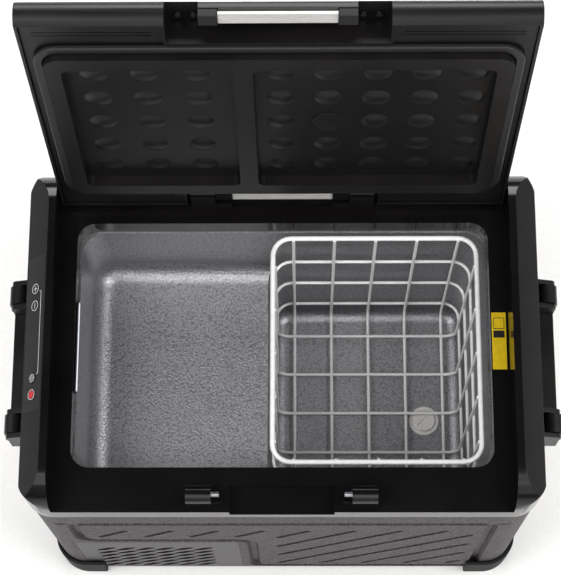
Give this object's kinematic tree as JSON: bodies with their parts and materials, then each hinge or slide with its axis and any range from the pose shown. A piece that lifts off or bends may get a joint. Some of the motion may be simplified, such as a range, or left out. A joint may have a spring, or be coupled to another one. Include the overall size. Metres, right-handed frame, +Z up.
{
  "type": "compressor cooler fridge",
  "caption": "Portable compressor cooler: pin-hinged lid with grip strips, stepped embossed metal liner, wire basket, side bail handles, sloping key panel and a machine bay with compressor and fan.",
  "frame": {"origin": "on the ground under the middle of the body, on the flat underside of the base pan", "axes": "+Z up, -Y the front with the vent and long face, -X the end with the key panel"},
  "size_m": [0.616, 0.4138, 0.7216],
  "materials": {
    "satin_black_abs": "satin",
    "grained_grey_abs": "grained",
    "gloss_panel": "gloss",
    "embossed_aluminium": "embossed",
    "plain_aluminium": "plain",
    "brushed_aluminium": "brushed",
    "foam": "foamed",
    "rubber": "matt",
    "white_lens": "diffusing",
    "black_enamel": "satin",
    "copper": "plain",
    "steel": "bright",
    "circuit_board": "lacquered",
    "red_key": "gloss",
    "white_wire": "vinyl coated"
  },
  "bodies": {
    "root": {"upper_frame": "satin_black_abs", "lower_casing": "grained_grey_abs", "base_pan": "grained_grey_abs", "foot_front_left": "rubber", "foot_front_right": "rubber", "foot_rear_left": "rubber", "foot_rear_right": "rubber", "front_pin_left": "steel", "front_pin_right": "steel", "rear_pin_left": "steel", "rear_pin_right": "steel", "control_panel": "gloss_panel", "front_vent_grille": "satin_black_abs", "rear_vent_grille": "satin_black_abs", "mains_inlet": "satin_black_abs", "dc_inlet": "satin_black_abs", "liner": "embossed_aluminium", "evaporator_plate": "plain_aluminium", "foam_insulation": "foam", "drain_fitting": "rubber", "led_strip": "white_lens", "compressor_mount": "rubber", "compressor": "black_enamel", "condenser_coil": "copper", "fan_shroud": "satin_black_abs", "control_board": "circuit_board", "left_handle_bracket": "satin_black_abs", "right_handle_bracket": "satin_black_abs"},
    "fan": {"fan_rotor": "satin_black_abs"},
    "plus_key": {"plus_button": "gloss_panel"},
    "minus_key": {"minus_button": "gloss_panel"},
    "settings_key": {"settings_button": "gloss_panel"},
    "power_key": {"power_button": "red_key"},
    "plug": {"drain_plug": "satin_black_abs"},
    "left_bail": {"left_side_handle": "satin_black_abs"},
    "right_bail": {"right_side_handle": "satin_black_abs"},
    "basket": {"basket_rim": "white_wire", "basket_front_grille": "white_wire", "basket_back_grille": "white_wire", "basket_left_grille": "white_wire", "basket_right_grille": "white_wire", "basket_floor_grille": "white_wire"},
    "lid": {"lid_outer_shell": "satin_black_abs", "lid_inner_panel": "satin_black_abs", "lid_foam": "foam", "lid_gasket": "rubber", "front_handle_shaft": "steel", "rear_handle_shaft": "steel"},
    "front_release": {"front_release_handle": "satin_black_abs", "front_grip_strip": "brushed_aluminium"},
    "rear_release": {"rear_release_handle": "satin_black_abs", "rear_grip_strip": "brushed_aluminium"}
  },
  "joints": [
    {"name": "lid_hinge", "type": "hinge", "parent": "root", "child": "lid", "pos_m": [0, 0.17, 0.367], "axis": [-1, 0, 0], "range_deg": [-95.7, 0]},
    {"name": "front_release_turn", "type": "hinge", "parent": "lid", "child": "front_release", "pos_m": [0, 0.21571, 0.70413], "axis": [-1, 0, 0], "range_deg": [0, 15], "stiffness_Nm_per_rad": 0.6},
    {"name": "rear_release_turn", "type": "hinge", "parent": "lid", "child": "rear_release", "pos_m": [0, 0.18194, 0.36581], "axis": [1, 0, 0], "range_deg": [0, 15], "stiffness_Nm_per_rad": 0.6},
    {"name": "left_handle_swing", "type": "hinge", "parent": "root", "child": "left_bail", "pos_m": [-0.298, 0, 0.284], "axis": [0, 1, 0], "range_deg": [0, 95]},
    {"name": "right_handle_swing", "type": "hinge", "parent": "root", "child": "right_bail", "pos_m": [0.298, 0, 0.284], "axis": [0, -1, 0], "range_deg": [0, 95]},
    {"name": "basket_lift", "type": "slide", "parent": "root", "child": "basket", "axis": [0, 0, 1], "range_m": [0, 0.28]},
    {"name": "drain_plug_turn", "type": "hinge", "parent": "root", "child": "plug", "pos_m": [0.172, -0.012, 0.055], "axis": [0, 0, 1], "range_deg": [0, 90]},
    {"name": "fan_spin", "type": "hinge", "parent": "root", "child": "fan", "pos_m": [-0.152, -0.158, 0.092], "axis": [0, -1, 0], "continuous": true},
    {"name": "plus_press", "type": "slide", "parent": "root", "child": "plus_key", "axis": [0.7071, 0, -0.7071], "range_m": [0, 0.0008], "stiffness_N_per_m": 600},
    {"name": "minus_press", "type": "slide", "parent": "root", "child": "minus_key", "axis": [0.7071, 0, -0.7071], "range_m": [0, 0.0008], "stiffness_N_per_m": 600},
    {"name": "settings_press", "type": "slide", "parent": "root", "child": "settings_key", "axis": [0.7071, 0, -0.7071], "range_m": [0, 0.0008], "stiffness_N_per_m": 600},
    {"name": "power_press", "type": "slide", "parent": "root", "child": "power_key", "axis": [0.7071, 0, -0.7071], "range_m": [0, 0.0008], "stiffness_N_per_m": 600}
  ]
}
